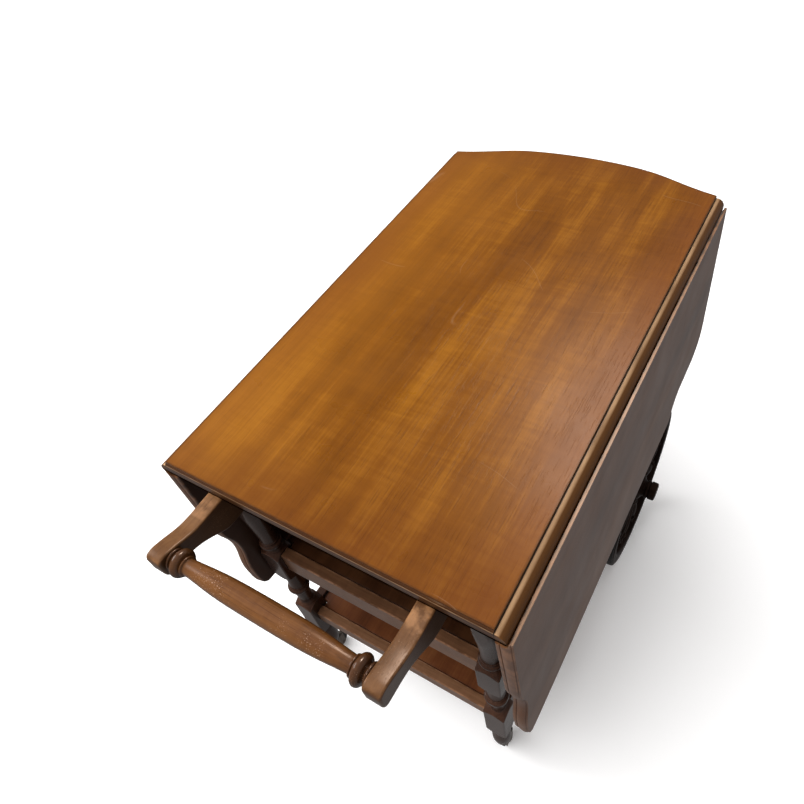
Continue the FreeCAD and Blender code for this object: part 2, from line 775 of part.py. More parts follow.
def make_stay(side, sign):
    """Leaf stay: a clevis bracket on the side apron, a pin, and an arm that hangs from it."""
    x = sign * STAY_X
    face = sign * (LEG_X + THICK / 2)
    ear_gap = STAY_HALF_THICK + 0.4
    low, high = sorted((face, face + sign * 2.5))
    pieces = [block("stay_back_" + side, (low, STAY_Y - 20, STAY_Z - 10),
                    (high, STAY_Y + 20, STAY_Z + 14))]
    low, high = sorted((face, sign * (STAY_X + 7)))
    for number, y in enumerate((STAY_Y - ear_gap - 2.5, STAY_Y + ear_gap), start=1):
        pieces.append(block(f"stay_ear_{side}_{number}", (low, y, STAY_Z - 7), (high, y + 2.5, STAY_Z + 9)))
    bracket = fuse("stay_bracket_solid_" + side, *pieces)
    bore = rod_y("stay_bracket_bore_" + side, STAY_PIN, STAY_Y - 20, STAY_Y + 20, x, STAY_Z)
    bracket = cut("stay_bracket_" + side, bracket, bore)
    pin = rod_y("stay_pin_" + side, STAY_PIN, STAY_Y - ear_gap - 4, STAY_Y + ear_gap + 4, x, STAY_Z)

    arm = new_body("stay_arm_" + side)
    outline = sketch_on(arm, "XZ_Plane", "stay_outline_" + side, -STAY_Y)
    tip = STAY_Z - dim("stay_length")
    w = STAY_HALF_WIDTH
    loop(outline, [
        (x + w, tip, x, tip - w),
        (x + w, STAY_Z),
        (x - w, STAY_Z, x, STAY_Z + w),
        (x - w, tip),
    ])
    pad(arm, outline, "stay_bar_" + side, 2 * STAY_HALF_THICK, both=True)
    eye = sketch_on(arm, "XZ_Plane", "stay_eye_" + side)
    circle(eye, x, STAY_Z, STAY_PIN + RUN)
    pocket(arm, eye, "stay_eye_cut_" + side)
    return bracket, pin


stay_brackets, stay_pins = zip(*[make_stay(side, sign) for side, sign in sides()])
keep(group("stay_brackets", *stay_brackets))
keep(group("stay_pins", *stay_pins))


# ---------------------------------------------------------------- screws
SCREW_HEAD = 3.4
SCREW_SHANK = 1.7


def screw(name, seat, direction, length):
    """A dome-headed wood screw: the head stands on its seat, the shank goes into the wood."""
    x, y, z = seat
    dx, dz = direction
    axis, angle = ((0, 1, 0), 90 * dx) if dx else ((0, 0, 1), 0)
    shank = primitive("Cylinder", name + "_shank", base=(x, y, z), axis=axis, angle=angle,
                      Radius=SCREW_SHANK, Height=length)
    head = primitive("Cone", name + "_head", base=(x - 1.4 * dx, y, z - 1.4 * dz), axis=axis, angle=angle,
                     Radius1=SCREW_HEAD - 1.2, Radius2=SCREW_HEAD, Height=1.4)
    return fuse(name, shank, head)


into_top = []
for side, sign in sides():
    into_leaf = []
    for number, y in enumerate(HINGE_YS, start=1):
        for step, shift in enumerate((-22, 22), start=1):
            tag = f"{side}_{number}_{step}"
            x = sign * (HINGE_NECK - TABLE_FLAP / 2)
            into_top.append(screw("top_screw_" + tag, (x, y + shift, UNDER_Z - PLATE), (0, 1), PLATE + 12))
            into_leaf.append(screw("leaf_screw_" + tag,
                                   (sign * (LEAF_IN - PLATE), y + shift, HINGE_Z - 55),
                                   (sign, 0), PLATE + 12))
    keep(hang(group("hinge_leaf_screws_" + side, *into_leaf), sign))
keep(group("hinge_top_screws", *into_top))

stay_screws = []
for side, sign in sides():
    for number, shift in enumerate((-14, 14), start=1):
        seat = (sign * (LEG_X + THICK / 2 + 2.5), STAY_Y + shift, STAY_Z + 2)
        stay_screws.append(screw(f"stay_screw_{side}_{number}", seat, (-sign, 0), 14.0))
keep(group("stay_screws", *stay_screws))


# ---------------------------------------------------------------- check and write
doc.recompute()
faults = [thing.Name for thing in doc.Objects if {"Invalid", "Error"} & set(thing.State)]
if faults:
    raise RuntimeError("these objects failed: " + ", ".join(faults))
labels = [thing.Label for thing in nodes]
if len(set(labels)) != len(labels) or len(labels) > 60:
    raise RuntimeError("labels repeat, or there are too many of them")
os.makedirs("parts", exist_ok=True)
for thing in nodes:
    shape = thing.Shape
    if shape.isNull() or not shape.isValid() or not shape.Solids:
        raise RuntimeError(thing.Label + " has no valid solid")
    shape.exportStep(os.path.join("parts", thing.Label + ".step"))
    box = shape.BoundBox
    print(f"{thing.Label:24s} solids {len(shape.Solids):2d}  volume {shape.Volume / 1000:9.1f} cm3  "
          f"x {box.XMin:7.1f} {box.XMax:7.1f}  y {box.YMin:7.1f} {box.YMax:7.1f}  "
          f"z {box.ZMin:7.1f} {box.ZMax:7.1f}")
print(len(nodes), "nodes")
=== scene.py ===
import json
import math

import bpy
import bmesh
from mathutils import Matrix, Vector


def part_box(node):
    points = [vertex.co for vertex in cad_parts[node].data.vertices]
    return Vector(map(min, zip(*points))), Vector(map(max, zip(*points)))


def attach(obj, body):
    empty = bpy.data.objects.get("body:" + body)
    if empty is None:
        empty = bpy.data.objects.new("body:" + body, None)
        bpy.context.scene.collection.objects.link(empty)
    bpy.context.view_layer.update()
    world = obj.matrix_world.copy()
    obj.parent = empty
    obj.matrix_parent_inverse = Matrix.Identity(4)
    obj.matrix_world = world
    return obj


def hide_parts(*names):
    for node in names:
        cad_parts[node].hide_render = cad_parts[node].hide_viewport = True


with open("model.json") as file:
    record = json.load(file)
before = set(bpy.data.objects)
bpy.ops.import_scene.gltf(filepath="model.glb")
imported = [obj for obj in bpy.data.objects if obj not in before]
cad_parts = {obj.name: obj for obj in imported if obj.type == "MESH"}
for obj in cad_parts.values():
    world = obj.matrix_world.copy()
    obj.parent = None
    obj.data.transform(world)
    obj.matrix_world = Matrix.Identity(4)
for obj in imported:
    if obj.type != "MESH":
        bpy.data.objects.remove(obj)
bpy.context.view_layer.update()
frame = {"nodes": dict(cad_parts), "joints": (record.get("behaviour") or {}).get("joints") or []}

MM = 0.001
SIDES = (("right", 1), ("left", -1))
JOINTS = {joint["name"]: joint for joint in frame["joints"]}
HINGE = JOINTS["leaf_hinge_right"]["pos_m"]
HINGE_X, HINGE_Z = HINGE[0] / MM, HINGE[2] / MM
LEAN = JOINTS["leaf_hinge_left"]["range_deg"][1] - 90     # degrees from plumb, the same way for both leaves


def corners(node):
    """Lowest and highest corner of a CAD node, in millimetres."""
    low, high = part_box(node)
    return low / MM, high / MM


TOP_LOW, TOP_HIGH = corners("top_board")
HEIGHT, UNDER = TOP_HIGH.z, TOP_LOW.z
NEAR, PEAK = TOP_LOW.y, TOP_HIGH.y


# ---------------------------------------------------------------- camera, light, floor
WHITE_SKY = 1.1          # strength that the camera sees as plain white
FLOOR_REACH = 30         # metres from the middle to each side


def aim(azimuth, elevation, roll):
    """Rotation of a camera that looks down by elevation, turned from +Y towards +X by azimuth."""
    az, el, ro = (math.radians(a) for a in (azimuth, elevation, roll))
    forward = Vector((math.sin(az) * math.cos(el), math.cos(az) * math.cos(el), -math.sin(el)))
    right = Vector((math.cos(az), -math.sin(az), 0))
    up = right.cross(forward)
    side = right * math.cos(ro) + up * math.sin(ro)
    top = up * math.cos(ro) - right * math.sin(ro)
    return Matrix((side, top, -forward)).transposed().to_4x4()


def make_camera():
    """The photograph's camera: place in metres, aim in degrees, lens in millimetres."""
    camera = bpy.data.objects.new("camera", bpy.data.cameras.new("camera"))
    bpy.context.scene.collection.objects.link(camera)
    camera.data.sensor_width = 36.0
    camera.data.lens = 28.97
    camera.data.shift_x = -0.0175
    camera.data.shift_y = 0.0117
    camera.data.clip_start = 0.05
    place = Matrix.Translation((0.3687, -0.57325, 1.3710))
    camera.matrix_world = place @ aim(azimuth=-40.045, elevation=49.6, roll=-12.086)
    bpy.context.scene.camera = camera


def add_light(name, place, target, size, power, color=(1, 1, 1), sheen_only=False):
    """A rectangular lamp; with sheen_only it shows in glossy reflections and lights nothing else."""
    data = bpy.data.lights.new(name, "AREA")
    data.shape = "RECTANGLE"
    data.size, data.size_y = size
    data.energy = power
    data.color = color
    lamp = bpy.data.objects.new(name, data)
    bpy.context.scene.collection.objects.link(lamp)
    lamp.location = place
    lamp.rotation_euler = (Vector(target) - Vector(place)).to_track_quat("-Z", "Y").to_euler()
    lamp.visible_diffuse = not sheen_only


def make_sky():
    """Even soft light from all round; the camera itself sees it as white."""
    world = bpy.data.worlds.new("studio")
    bpy.context.scene.world = world
    world.use_nodes = True
    tree = world.node_tree
    direction = tree.nodes.new("ShaderNodeTexCoord")
    split = tree.nodes.new("ShaderNodeSeparateXYZ")
    tree.links.new(direction.outputs["Generated"], split.inputs[0])
    height = tree.nodes.new("ShaderNodeMapRange")
    limits = {"From Min": -0.25, "From Max": 0.35, "To Min": 0.34, "To Max": 0.32}
    for name, limit in limits.items():
        height.inputs[name].default_value = limit
    tree.links.new(split.outputs["Z"], height.inputs["Value"])
    seen = tree.nodes.new("ShaderNodeLightPath")
    strength = tree.nodes.new("ShaderNodeMix")
    strength.inputs["B"].default_value = WHITE_SKY
    tree.links.new(seen.outputs["Is Camera Ray"], strength.inputs["Factor"])
    tree.links.new(height.outputs[0], strength.inputs["A"])
    tree.links.new(strength.outputs["Result"], tree.nodes["Background"].inputs["Strength"])
    tree.nodes["Background"].inputs["Color"].default_value = (1.0, 0.955, 0.94, 1)


def make_sun():
    """A wide soft sun overhead that leaves no mirror image in the varnish."""
    sun = bpy.data.objects.new("overhead", bpy.data.lights.new("overhead", "SUN"))
    bpy.context.scene.collection.objects.link(sun)
    sun.data.energy = 3.9
    sun.data.angle = math.radians(70)
    sun.visible_glossy = False
    sun.rotation_euler = Vector((0.45, 0.15, -1)).to_track_quat("-Z", "Y").to_euler()


def make_floor():
    """A white floor that takes shadows but throws no light back on the table."""
    floor = bpy.data.objects.new("floor", bpy.data.meshes.new("floor"))
    bpy.context.scene.collection.objects.link(floor)
    r = FLOOR_REACH
    floor.data.from_pydata([(-r, -r, 0), (r, -r, 0), (r, r, 0), (-r, r, 0)], [], [(0, 1, 2, 3)])
    floor.visible_diffuse = False
    floor.visible_glossy = False
    paint = bpy.data.materials.new("floor_paint")
    paint.use_nodes = True
    settings = {"Base Color": (0.95, 0.95, 0.95, 1), "Roughness": 0.9, "Specular IOR Level": 0.1,
                "Emission Color": (1, 1, 1, 1), "Emission Strength": 0.15}
    for name, value in settings.items():
        paint.node_tree.nodes["Principled BSDF"].inputs[name].default_value = value
    floor.data.materials.append(paint)


def make_studio():
    bpy.context.scene.view_settings.view_transform = "Standard"
    make_sky()
    add_light("window", place=(-0.12, 1.45, 2.9), target=(0.15, 0.0, 0.7), size=(0.7, 0.9), power=62,
              color=(1.0, 0.76, 0.60), sheen_only=True)
    add_light("side", place=(-2.4, -0.6, 2.0), target=(0, 0, 0.7), size=(1.2, 1.0), power=22)
    make_sun()
    make_floor()


# ---------------------------------------------------------------- materials
class Graph:
    """Builds one material's nodes; a socket given as an input is linked, a number is set."""

    def __init__(self, name):
        self.material = bpy.data.materials.new(name)
        self.material.use_nodes = True
        self.tree = self.material.node_tree
        self.shader = self.tree.nodes["Principled BSDF"]
        self.place = self.add("ShaderNodeTexCoord").outputs["Object"]

    def add(self, kind, settings=None, **inputs):
        node = self.tree.nodes.new(kind)
        for key, value in (settings or {}).items():
            setattr(node, key, value)
        self.set(node, **inputs)
        return node

    def set(self, node, **inputs):
        for key, value in inputs.items():
            name = key.replace("_", " ")
            socket = node.inputs[int(key[1:])] if key[0] == "n" and key[1:].isdigit() else node.inputs[name]
            if isinstance(value, bpy.types.NodeSocket):
                self.tree.links.new(value, socket)
            else:
                socket.default_value = value

    def math(self, operation, a, b=0.0):
        return self.add("ShaderNodeMath", {"operation": operation}, n0=a, n1=b).outputs[0]

    def times(self, *factors):
        """Product of two or more sockets or numbers."""
        product = factors[0]
        for factor in factors[1:]:
            product = self.math("MULTIPLY", product, factor)
        return product

    def plus(self, a, b):
        return self.math("ADD", a, b)

    def minus(self, a, b):
        return self.math("SUBTRACT", a, b)

    def axes(self):
        """Object coordinates as separate X, Y and Z outputs, in metres."""
        return self.add("ShaderNodeSeparateXYZ", Vector=self.place).outputs

    def attribute(self, name):
        return self.add("ShaderNodeAttribute", {"attribute_name": name}).outputs["Fac"]

    def stretch(self, scale):
        """Object coordinates, scaled along each axis."""
        return self.add("ShaderNodeMapping", Vector=self.place, Scale=scale).outputs[0]

    def noise(self, scale, stretch=(1, 1, 1), detail=2.0, distortion=0.0, rough=0.5):
        node = self.add("ShaderNodeTexNoise", Vector=self.stretch(stretch), Scale=scale, Detail=detail,
                        Roughness=rough, Distortion=distortion)
        return node.outputs["Fac"]

    def ramp(self, factor, *stops):
        """Colour ramp; each stop is (position, colour or grey)."""
        node = self.add("ShaderNodeValToRGB", Fac=factor)
        elements = node.color_ramp.elements
        while len(elements) < len(stops):
            elements.new(0.5)
        for element, (position, color) in zip(elements, stops):
            element.position = position
            grey = isinstance(color, (int, float))
            element.color = (color, color, color, 1) if grey else (*color, 1)
        return node.outputs["Color"]

    def mix(self, factor, a, b):
        node = self.add("ShaderNodeMix", {"data_type": "RGBA"})
        for index, value in ((0, factor), (6, a), (7, b)):
            if isinstance(value, bpy.types.NodeSocket):
                self.tree.links.new(value, node.inputs[index])
            else:
                node.inputs[index].default_value = value if index == 0 else (*value, 1)
        return node.outputs[2]

    def bump(self, height, distance, strength):
        node = self.add("ShaderNodeBump", Height=height, Distance=distance, Strength=strength)
        self.set(self.shader, Normal=node.outputs[0])


def along(axis, grain, across=1.0):
    """Coordinate scales for a pattern drawn out along one axis."""
    return tuple(grain if name == axis else across for name in "XYZ")


def wood(name, deep, middle, light, axis, *, gloss, specular, worn, figure=0.3, tint_and_painted_light=None,
         scratched=0.0, specks=0.0, painted_shade=0.0):
    """Stained hardwood: broad figure, drawn-out fibres, short pores, worn arrises, satin varnish."""
    g = Graph(name)
    broad = g.noise(5.5, along(axis, 0.30), 3.0, 0.9)
    band = g.noise(26, along(axis, 0.045), 3.0, 0.4)
    fibre = g.noise(330, along(axis, 0.022), 2.0)
    curl = g.noise(46, along(axis, 1.8, 0.35), 2.0, 0.8)
    pore = g.ramp(g.noise(900, along(axis, 0.035), 1.0), (0.60, 0.0), (0.70, 1.0))
    layers = ((broad, 0.42), (band, figure), (fibre, 0.13), (curl, 0.09))
    mixed = g.times(*layers[0])
    for layer in layers[1:]:
        mixed = g.plus(mixed, g.times(*layer))
    mean = 0.5 * sum(share for _, share in layers)
    color = g.ramp(mixed, (mean - 0.17, deep), (mean, middle), (mean + 0.15, light))
    color = g.mix(g.times(pore, 0.30), color, tuple(c * 0.45 for c in deep))
    if tint_and_painted_light:
        # Adds a part's own tints together with its painted light and shade.
        color = tint_and_painted_light(g, color)
    color = wear(g, color, light, worn)
    if scratched:
        color = scratches(g, color, scratched)
    if painted_shade:
        # Painted shade: faces that don't face straight up are darkened towards a dark copy of the middle
        # stain, as if lit from above.
        facing = g.add("ShaderNodeSeparateXYZ", Vector=g.add("ShaderNodeNewGeometry").outputs["Normal"])
        away_from_light = g.ramp(g.plus(facing.outputs["Z"], g.times(broad, 0.4)), (0.30, 1.0), (0.85, 0.0))
        color = g.mix(g.times(away_from_light, painted_shade), color, tuple(c * 0.35 for c in middle))
    if specks:
        chips = g.ramp(g.noise(700, detail=3.0), (0.62, 0.0), (0.68, 1.0))
        patch = g.ramp(g.noise(22, detail=2.0), (0.52, 0.0), (0.62, 1.0))
        color = g.mix(g.times(chips, patch, specks), color, (0.50, 0.30, 0.18))
    rough = g.plus(g.times(g.noise(14, detail=4.0), 0.16), gloss - 0.08)
    g.set(g.shader, Base_Color=color, Roughness=rough)
    g.shader.inputs["Specular IOR Level"].default_value = specular
    g.bump(g.minus(g.times(fibre, 0.5), g.times(pore, 0.6)), 0.00012, 0.6)
    return g.material


def wear(g, color, light, amount):
    """Varnish rubbed through to paler wood in patches along the arrises."""
    point = g.add("ShaderNodeNewGeometry").outputs["Pointiness"]
    rubbed = g.ramp(g.noise(60, detail=4.0), (0.42, 0.0), (0.62, 1.0))
    arris = g.ramp(point, (0.515, 0.0), (0.56, 1.0))
    return g.mix(g.times(rubbed, arris, amount), color, tuple(min(1, c * 1.9 + 0.02) for c in light))


def scratches(g, color, amount):
    """A few fine pale scratches, along level lines of a slow noise."""
    lines = g.noise(6.0, detail=0.0, distortion=0.4)
    thin = g.ramp(g.math("ABSOLUTE", g.minus(lines, 0.47)), (0.0, 1.0), (0.0016, 0.0))
    patch = g.ramp(g.noise(11.0, (1.3, 1, 1), 0.0), (0.60, 0.0), (0.66, 1.0))
    return g.mix(g.times(thin, patch, amount), color, (0.75, 0.55, 0.35))


def top_edges(g, color):
    """The top has painted light that makes it paler to the left. It is redder to the sides and ends and
    darker down the edges. It has painted shade in the quirk and a painted highlight along each roll's crest.
    """
    x, y, z = g.axes()
    low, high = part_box("top_board")
    from_middle = g.math("ABSOLUTE", x)
    across = g.math("DIVIDE", from_middle, HINGE_X * MM)
    wander = g.times(g.minus(g.noise(9, detail=3.0), 0.5), 0.35)
    # Painted light: the top is lightened towards the left, where the light falls on it most.
    pale = g.ramp(g.minus(wander, g.times(x, 1.8)), (0.02, 0.0), (0.42, 1.0))
    color = g.mix(g.times(pale, 0.5), color, (0.330, 0.122, 0.012))
    side = g.ramp(g.plus(across, wander), (0.72, 0.0), (1.00, 1.0))
    color = g.mix(g.times(side, 0.45), color, (0.135, 0.036, 0.008))
    reach = g.math("DIVIDE", g.math("ABSOLUTE", g.minus(y, (low.y + high.y) / 2)), (high.y - low.y) / 2)
    end = g.ramp(g.plus(reach, wander), (0.80, 0.0), (0.99, 1.0))
    color = g.mix(g.times(end, 0.5), color, (0.115, 0.030, 0.004))
    below_mm = g.times(g.minus(high.z, z), 1000.0)
    turned = g.ramp(below_mm, (0.5, 0.0), (0.9, 1.0))
    color = g.mix(g.times(turned, 0.85), color, (0.090, 0.040, 0.018))
    beyond = g.ramp(g.minus(across, 0.5), (0.500, 0.0), (0.504, 1.0))
    color = g.mix(g.times(beyond, 0.75), color, (0.300, 0.130, 0.036))
    color = g.mix(g.times(g.attribute("rim"), 0.72), color, (0.050, 0.018, 0.006))
    # Painted highlight: a pale band along the crest of each roll, broken into patches by the rubbed noise.
    crest_highlight = g.ramp(g.math("DIVIDE", below_mm, 10.0), (0.52, 0.0), (0.56, 1.0), (0.72, 0.0))
    rubbed = g.ramp(g.noise(45, (1, 0.3, 1), 4.0), (0.35, 0.4), (0.65, 0.9))
    color = g.mix(g.times(crest_highlight, rubbed), color, (0.70, 0.430, 0.230))
    # Painted shade: the step of the quirk between top and roll is darkened almost to black.
    step = g.times(g.minus(from_middle, HINGE_X * MM), 400.0)
    quirk = g.ramp(g.plus(step, 0.5), (0.30, 0.0), (0.42, 1.0), (0.75, 1.0), (1.0, 0.0))
    return g.mix(g.times(quirk, 0.92), color, (0.010, 0.005, 0.003))


def bar_ends(g, color):
    """The push bar is darker towards its ends, and painted shade darkens its underside."""
    low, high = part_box("handle_bar")
    x, _, z = g.axes()
    reach = g.math("DIVIDE", g.math("ABSOLUTE", x), high.x)
    wander = g.times(g.minus(g.noise(40, detail=3.0), 0.5), 0.12)
    ends = g.ramp(g.plus(reach, wander), (0.62, 0.0), (0.80, 1.0))
    color = g.mix(g.times(ends, 0.75), color, (0.034, 0.014, 0.007))
    # Painted shade: the lower half of the bar is darkened, as if lit from above.
    drop = g.math("DIVIDE", g.minus((low.z + high.z) / 2, z), (high.z - low.z) / 2)
    underside_shade = g.ramp(g.plus(g.plus(drop, 0.5), g.times(wander, 3.0)), (0.20, 0.0), (0.85, 1.0))
    return g.mix(g.times(underside_shade, 0.8), color, (0.024, 0.010, 0.005))


def leaf_lip(g, color):
    """A leaf's lip along the rule joint is rubbed pale, painted shadow darkens the cove below the lip, and
    painted shade darkens the leaf's back.
    """
    x, _, z = g.axes()
    below = g.minus(HINGE_Z * MM, z)
    upper = g.ramp(g.times(below, 100.0), (0.30, 1.0), (0.50, 0.0))
    inward = g.minus((HINGE_X + HEIGHT - HINGE_Z) * MM, g.math("ABSOLUTE", x))
    outer = g.ramp(g.times(inward, 100.0), (0.18, 1.0), (0.34, 0.0))
    # Painted shadow: near the top, the cove that the roll shades is darkened almost to black.
    color = g.mix(g.times(upper, g.minus(1.0, outer)), color, (0.008, 0.004, 0.003))
    rubbed = g.ramp(g.noise(40, (1, 0.25, 1), 4.0), (0.30, 0.25), (0.70, 0.95))
    color = g.mix(g.times(upper, outer, rubbed), color, (0.26, 0.150, 0.085))
    # Painted shade: the leaf's back is darkened.
    return g.mix(g.times(g.attribute("back"), 0.8), color, (0.020, 0.010, 0.008))


def metal(name, color, rough, rust=0.25):
    """Dull drawn steel with brown stains."""
    g = Graph(name)
    stain = g.ramp(g.noise(130, detail=5.0), (0.45, 0.0), (0.72, 1.0))
    tint = g.mix(g.times(stain, rust), color, (0.10, 0.055, 0.03))
    drawn = g.noise(900, (0.05, 1, 1), 2.0)
    marks = g.plus(drawn, stain)
    g.set(g.shader, Base_Color=tint, Roughness=g.plus(rough, g.times(marks, 0.14)))
    g.shader.inputs["Metallic"].default_value = 1.0
    g.bump(marks, 0.00004, 0.5)
    return g.material


def rubber(name, color, dust):
    """Matt black rubber with grey grime."""
    g = Graph(name)
    grime = g.ramp(g.noise(70, detail=6.0, rough=0.65), (0.45, 0.0), (0.75, 1.0))
    g.set(g.shader, Base_Color=g.mix(g.times(grime, 0.6), color, dust),
          Roughness=g.plus(g.times(grime, 0.25), 0.55))
    g.shader.inputs["Specular IOR Level"].default_value = 0.15
    g.bump(g.noise(1500, detail=3.0), 0.00006, 0.5)
    return g.material


# Palettes: deep, middle and light stain; the mid shelf's and the wheels' palettes are also darkened as
# painted shade.
DARK = ((0.018, 0.007, 0.004), (0.055, 0.023, 0.013), (0.105, 0.048, 0.028))
WARM = ((0.022, 0.007, 0.002), (0.088, 0.029, 0.007), (0.180, 0.070, 0.018))
ARM = ((0.040, 0.016, 0.006), (0.125, 0.054, 0.020), (0.235, 0.110, 0.040))
RAIL = ((0.046, 0.019, 0.009), (0.140, 0.064, 0.031), (0.250, 0.125, 0.065))
# The mid shelf's stain, darkened well below the low shelf's as painted shade from the top above it.
SHADED_SHELF = ((0.022, 0.007, 0.003), (0.050, 0.018, 0.007), (0.090, 0.034, 0.012))
LEAF = ((0.058, 0.020, 0.007), (0.120, 0.046, 0.016), (0.190, 0.080, 0.030))
# The wheels' dark wood stain, darkened further towards black as painted shade.
SHADED_BLACK = ((0.004, 0.002, 0.0015), (0.012, 0.006, 0.004), (0.028, 0.014, 0.009))
HONEY = ((0.082, 0.022, 0.0004), (0.172, 0.054, 0.0016), (0.330, 0.125, 0.008))
RUSSET = ((0.050, 0.015, 0.006), (0.125, 0.040, 0.014), (0.200, 0.075, 0.027))
MATERIALS = {
    "top": wood("top_varnish", *HONEY, "Y", gloss=0.30, specular=0.12, worn=0.10, figure=0.34,
                tint_and_painted_light=top_edges, scratched=0.07),
    "leaf": wood("leaf_varnish", *LEAF, "Y", gloss=0.38, specular=0.46, worn=0.5, tint_and_painted_light=leaf_lip),
    "upright": wood("leg_varnish", *DARK, "Z", gloss=0.26, specular=0.22, worn=0.6, painted_shade=0.5),
    "along": wood("side_rail_varnish", *DARK, "Y", gloss=0.32, specular=0.25, worn=0.4),
    "across": wood("end_rail_varnish", *RAIL, "X", gloss=0.32, specular=0.16, worn=0.5),
    "shelf": wood("shelf_varnish", *SHADED_SHELF, "Y", gloss=0.34, specular=0.25, worn=0.15, figure=0.4),
    "low_shelf": wood("low_shelf_varnish", *RUSSET, "Y", gloss=0.34, specular=0.22, worn=0.15, figure=0.4),
    "bar": wood("bar_varnish", *WARM, "X", gloss=0.24, specular=0.50, worn=0.5, tint_and_painted_light=bar_ends,
                specks=0.9),
    "arm": wood("arm_varnish", *ARM, "Y", gloss=0.32, specular=0.32, worn=0.6, specks=0.3, painted_shade=0.75),
    "wheel": wood("wheel_varnish", *SHADED_BLACK, "X", gloss=0.45, specular=0.05, worn=0.08),
    "steel": metal("dull_steel", (0.42, 0.40, 0.37), 0.32),
    "dark_steel": metal("browned_steel", (0.16, 0.14, 0.12), 0.42, rust=0.5),
    "tyre": rubber("tyre_rubber", (0.005, 0.005, 0.005), (0.020, 0.018, 0.017)),
    "caster": rubber("caster_rubber", (0.020, 0.018, 0.016), (0.06, 0.055, 0.05)),
}


# ---------------------------------------------------------------- mesh helpers
MERGE = 2e-6             # metres
SHORTEST_EDGE = 1e-6     # metres


def piece(name, bm, look, body, *nodes, place=None, sharp=34.0):
    """Turns a mesh given in millimetres into a finished piece that stands for CAD nodes."""
    if place is not None:
        bm.transform(place)
    bm.transform(Matrix.Scale(MM, 4))
    bmesh.ops.remove_doubles(bm, verts=bm.verts, dist=MERGE)
    bmesh.ops.dissolve_degenerate(bm, edges=bm.edges, dist=SHORTEST_EDGE)
    bmesh.ops.recalc_face_normals(bm, faces=bm.faces)
    limit = math.radians(sharp)
    for edge in bm.edges:
        edge.smooth = len(edge.link_faces) != 2 or edge.calc_face_angle(0.0) < limit
    mesh = bpy.data.meshes.new(name)
    bm.to_mesh(mesh)
    bm.free()
    thing = bpy.data.objects.new(name, mesh)
    bpy.context.scene.collection.objects.link(thing)
    mesh.materials.append(MATERIALS[look])
    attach(thing, body)
    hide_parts(*nodes)


def smooth(points, steps=5):
    """A Catmull-Rom curve through points, from first to last."""
    path = []
    padded = [points[0]] + list(points) + [points[-1]]
    for i in range(1, len(padded) - 2):
        p0, p1, p2, p3 = (Vector(p) for p in padded[i - 1:i + 3])
        for step in range(steps):
            t = step / steps
            path.append(tuple(0.5 * (2 * p1 + (p2 - p0) * t + (2 * p0 - 5 * p1 + 4 * p2 - p3) * t ** 2
                                     + (3 * p1 - 3 * p2 + p3 - p0) * t ** 3)))
    path.append(tuple(points[-1]))
    return path


def chain(*spans):
    """Joins spans end to end; a span of three or more points is smoothed."""
    path = []
    for span in spans:
        path += smooth(span) if len(span) > 2 else list(span)
    return path


def bead(r0, z0, z1, height, r1=None, steps=8):
    """A half-round bead between two heights, standing on radius r0 (and r1 at its end)."""
    r1 = r0 if r1 is None else r1
    path = []
    for step in range(steps + 1):
        t = step / steps
        lift = math.sqrt(max(0.0, 1 - (2 * t - 1) ** 2))
        path.append((r0 + (r1 - r0) * t + height * lift, z0 + (z1 - z0) * t))
    return path


def skin(bm, rings, closed=False):
    """Faces between rings of vertices; the ends are capped unless the rings close on themselves."""
    rows = [[bm.verts.new(point) for point in ring] for ring in rings]
    pairs = list(zip(rows, rows[1:])) + ([(rows[-1], rows[0])] if closed else [])
    for low, high in pairs:
        count = len(low)
        for i in range(count):
            j = (i + 1) % count
            bm.faces.new((low[i], low[j], high[j], high[i])).smooth = True
    if not closed:
        for row in (rows[0], rows[-1]):
            bm.faces.new(row).smooth = False


def lathe(profile, segments, closed=False, bm=None, place=None):
    """Turns (radius, height) points about Z; a closed profile makes a ring."""
    bm = bm or bmesh.new()
    rings = []
    for radius, height in profile:
        ring = []
        for i in range(segments):
            a = 2 * math.pi * i / segments
            point = Vector((radius * math.cos(a), radius * math.sin(a), height))
            ring.append(place @ point if place else point)
        rings.append(ring)
    skin(bm, rings, closed)
    return bm


def inset_loops(bm, faces, *steps):
    """Loops just inside flat faces keep the wear on their edges from spreading across them."""
    for step in steps:
        bmesh.ops.inset_individual(bm, faces=faces, thickness=step, use_even_offset=True)


def close_caps(bm):
    """Inset loops and triangles for the flat outlines at both ends of a skin."""
    inset_loops(bm, [face for face in bm.faces if len(face.verts) > 4], 1.5, 2.0)
    bmesh.ops.triangulate(bm, faces=[face for face in bm.faces if len(face.verts) > 4])


def rounded_box(low, high, radius):
    """A box with rounded edges and flat faces."""
    bm = bmesh.new()
    bmesh.ops.create_cube(bm, size=1.0)
    for vert in bm.verts:
        vert.co = Vector([low[i] + (vert.co[i] + 0.5) * (high[i] - low[i]) for i in range(3)])
    rounds = bmesh.ops.bevel(bm, geom=bm.edges[:], offset=radius, segments=3, profile=0.5, affect="EDGES")
    for face in rounds["faces"]:
        face.smooth = True
    flats = [face for face in bm.faces if not face.smooth and face.calc_area() > 60 * radius]
    inset_loops(bm, flats, radius)
    return bm


def outline_normals(points):
    """Outward unit normals of a counter-clockwise closed outline, mitred at its corners."""
    normals = []
    count = len(points)
    for i in range(count):
        before = Vector(points[i]) - Vector(points[i - 1])
        after = Vector(points[(i + 1) % count]) - Vector(points[i])
        n0 = Vector((before.y, -before.x)).normalized()
        n1 = Vector((after.y, -after.x)).normalized()
        both = (n0 + n1).normalized()
        normals.append(both / max(0.5, both.dot(n0)))
    return normals


def table(rows, x):
    """Value at x from rows of (x, value), joined by straight lines."""
    for (x0, y0), (x1, y1) in zip(rows, rows[1:]):
        if x <= x1:
            return y0 + (y1 - y0) * (x - x0) / (x1 - x0) if x1 > x0 else y1
    return rows[-1][1]


